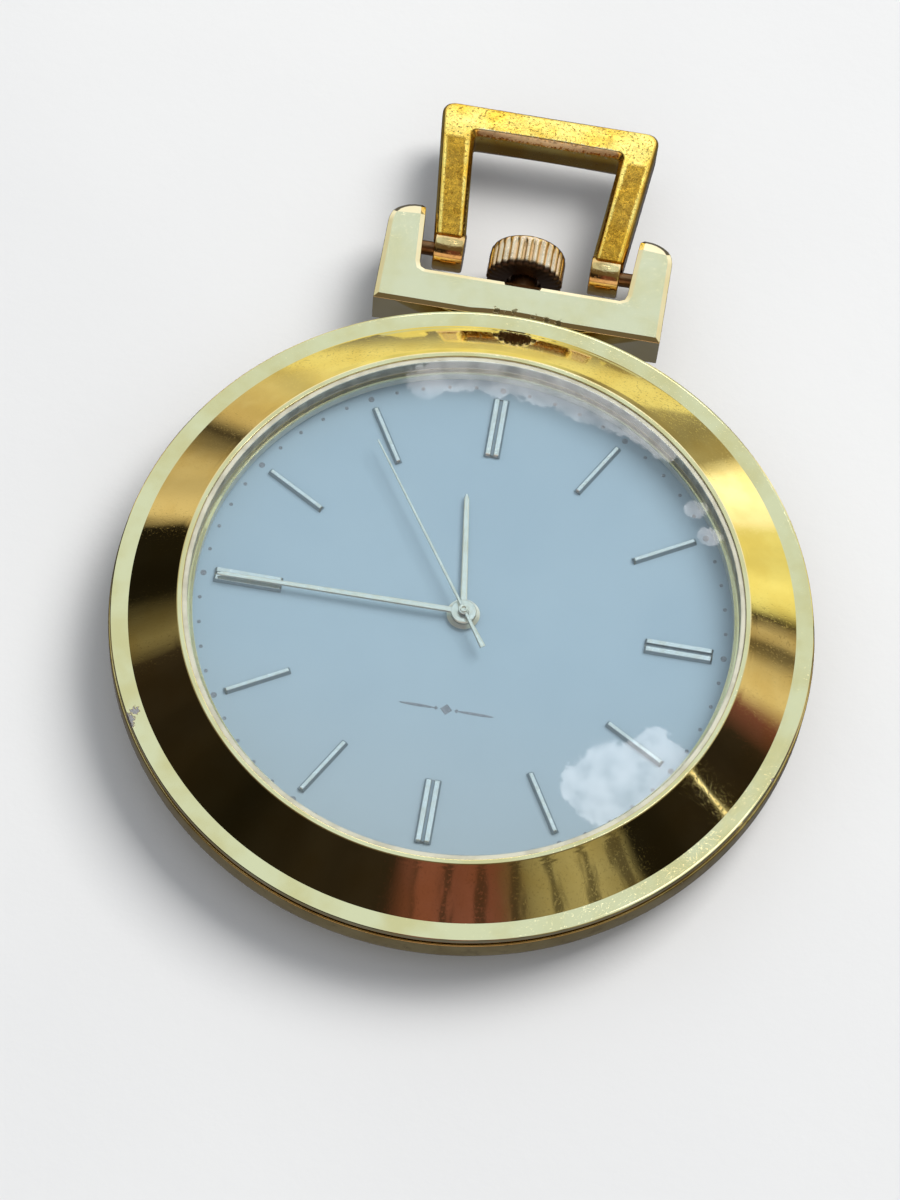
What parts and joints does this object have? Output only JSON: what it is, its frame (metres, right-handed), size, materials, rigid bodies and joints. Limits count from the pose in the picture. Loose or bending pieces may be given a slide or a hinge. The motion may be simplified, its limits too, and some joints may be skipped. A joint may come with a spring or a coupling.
{
  "type": "fob watch",
  "caption": "Thin round gold-plated quartz fob watch: raised bevelled bezel, baton dial, slim hands, square bracket, fluted crown and hinged stirrup bow.",
  "frame": {"origin": "centre of the flat outer face of the case back", "axes": "+Y from the centre of the dial to 12 o'clock and the bow, +Z out of the dial, +X to 3 o'clock"},
  "size_m": [0.0422, 0.0572, 0.0066],
  "materials": {
    "gold": "polished gold plate over brass, lightly worn",
    "bow_gold": "gold plate, pitted and worn",
    "crown_gold": "pale rose-gold plate, fluted",
    "crystal": "clear mineral crystal, slightly domed",
    "gasket": "black nitrile",
    "clear_gasket": "translucent nylon ring",
    "dial": "silvered, fine satin",
    "dial_ring": "gilt, satin",
    "marker": "polished, pale gold",
    "hand": "polished gilt",
    "plate": "satin brass",
    "steel": "fine steel",
    "wheel": "gilt brass",
    "holder": "moulded acetal",
    "board": "green solder mask",
    "chip": "black resin",
    "copper": "enamelled copper wire",
    "magnet": "sintered magnet",
    "cell": "nickel-plated cell can"
  },
  "bodies": {
    "case": {"mid_case": "gold", "bezel": "gold", "crystal": "crystal", "crystal_gasket": "clear_gasket", "case_back": "gold", "back_gasket": "gasket", "bow_bracket": "gold", "bow_pins": "gold", "crown_tube": "gold", "movement_holder": "holder", "dial": "dial", "dial_ring": "dial_ring", "hour_markers": "marker", "quarter_markers": "marker", "main_plate": "plate", "train_bridge": "plate", "bridge_screws": "steel", "clamp_screw": "steel", "circuit_board": "board", "timing_crystal": "cell", "control_chip": "chip", "coil_core": "steel", "coil_winding": "copper", "stator": "steel", "dial_washer": "wheel", "battery": "cell", "battery_clamp": "steel", "battery_contact": "steel"},
    "bow": {"bow": "bow_gold"},
    "crown_seal": {"crown_gasket": "gasket"},
    "crown": {"crown": "crown_gold", "stem": "steel"},
    "sliding_pinion": {"sliding_pinion": "steel"},
    "setting_lever": {"setting_lever": "steel"},
    "yoke": {"yoke": "steel"},
    "seconds": {"seconds_wheel": "wheel", "seconds_hand": "hand"},
    "third": {"third_wheel": "wheel"},
    "minutes": {"center_wheel": "wheel", "cannon_pinion": "steel", "minute_hand": "hand"},
    "minute_wheel": {"minute_wheel": "wheel"},
    "hours": {"hour_wheel": "wheel", "hour_hand": "hand"},
    "setting_wheel": {"setting_wheel": "wheel"},
    "intermediate": {"intermediate_wheel": "wheel"},
    "rotor": {"rotor_pinion": "wheel", "rotor_magnet": "magnet"}
  },
  "joints": [
    {"name": "bow_swing", "type": "hinge", "parent": "case", "child": "bow", "pos_m": [0, 0.0257, 0.00305], "axis": [1, 0, 0], "range_deg": [-118, 118]},
    {"name": "crown_pull", "type": "slide", "parent": "case", "child": "crown_seal", "axis": [0, 1, 0], "range_m": [0, 0.001]},
    {"name": "crown_turn", "type": "hinge", "parent": "crown_seal", "child": "crown", "pos_m": [0, 0.025, 0.0026], "axis": [0, 1, 0], "continuous": true},
    {"name": "pinion_slide", "type": "slide", "parent": "crown", "child": "sliding_pinion", "axis": [0, 1, 0], "range_m": [-0.0022, 0]},
    {"name": "setting_lever_turn", "type": "hinge", "parent": "case", "child": "setting_lever", "pos_m": [0.002, 0.00985, 0.003], "axis": [0, 0, 1], "range_deg": [-29, 0]},
    {"name": "yoke_turn", "type": "hinge", "parent": "case", "child": "yoke", "pos_m": [-0.0025, 0.00735, 0.0031], "axis": [0, 0, 1], "range_deg": [-26.5, 0]},
    {"name": "seconds_turn", "type": "hinge", "parent": "case", "child": "seconds", "pos_m": [0, 0, 0.002], "axis": [0, 0, -1], "continuous": true},
    {"name": "third_turn", "type": "hinge", "parent": "case", "child": "third", "pos_m": [-0.00288, 0.00105, 0.002], "axis": [0, 0, -1], "continuous": true},
    {"name": "minute_turn", "type": "hinge", "parent": "case", "child": "minutes", "pos_m": [0, 0, 0.002], "axis": [0, 0, -1], "continuous": true},
    {"name": "minute_wheel_turn", "type": "hinge", "parent": "case", "child": "minute_wheel", "pos_m": [0, 0.0024, 0.002], "axis": [0, 0, -1], "continuous": true},
    {"name": "hour_turn", "type": "hinge", "parent": "case", "child": "hours", "pos_m": [0, 0, 0.002], "axis": [0, 0, -1], "continuous": true},
    {"name": "setting_wheel_turn", "type": "hinge", "parent": "case", "child": "setting_wheel", "pos_m": [0, 0.0051, 0.002], "axis": [0, 0, -1], "continuous": true},
    {"name": "intermediate_turn", "type": "hinge", "parent": "case", "child": "intermediate", "pos_m": [0.00267, -0.00154, 0.002], "axis": [0, 0, -1], "continuous": true},
    {"name": "rotor_turn", "type": "hinge", "parent": "case", "child": "rotor", "pos_m": [0.00369, -0.00331, 0.002], "axis": [0, 0, -1], "continuous": true}
  ],
  "couplings": [
    {"joint": "pinion_slide", "follows": "crown_pull", "ratio": -2.1},
    {"joint": "setting_lever_turn", "follows": "crown_pull", "rad_per_m": -489.96},
    {"joint": "yoke_turn", "follows": "crown_pull", "rad_per_m": -450.55},
    {"joint": "third_turn", "follows": "seconds_turn", "ratio": -0.13333},
    {"joint": "minute_turn", "follows": "seconds_turn", "ratio": 0.016667},
    {"joint": "minute_wheel_turn", "follows": "seconds_turn", "ratio": -0.0055556},
    {"joint": "hour_turn", "follows": "seconds_turn", "ratio": 0.0013889},
    {"joint": "setting_wheel_turn", "follows": "seconds_turn", "ratio": 0.011111},
    {"joint": "intermediate_turn", "follows": "seconds_turn", "ratio": -6},
    {"joint": "rotor_turn", "follows": "seconds_turn", "ratio": 30}
  ]
}
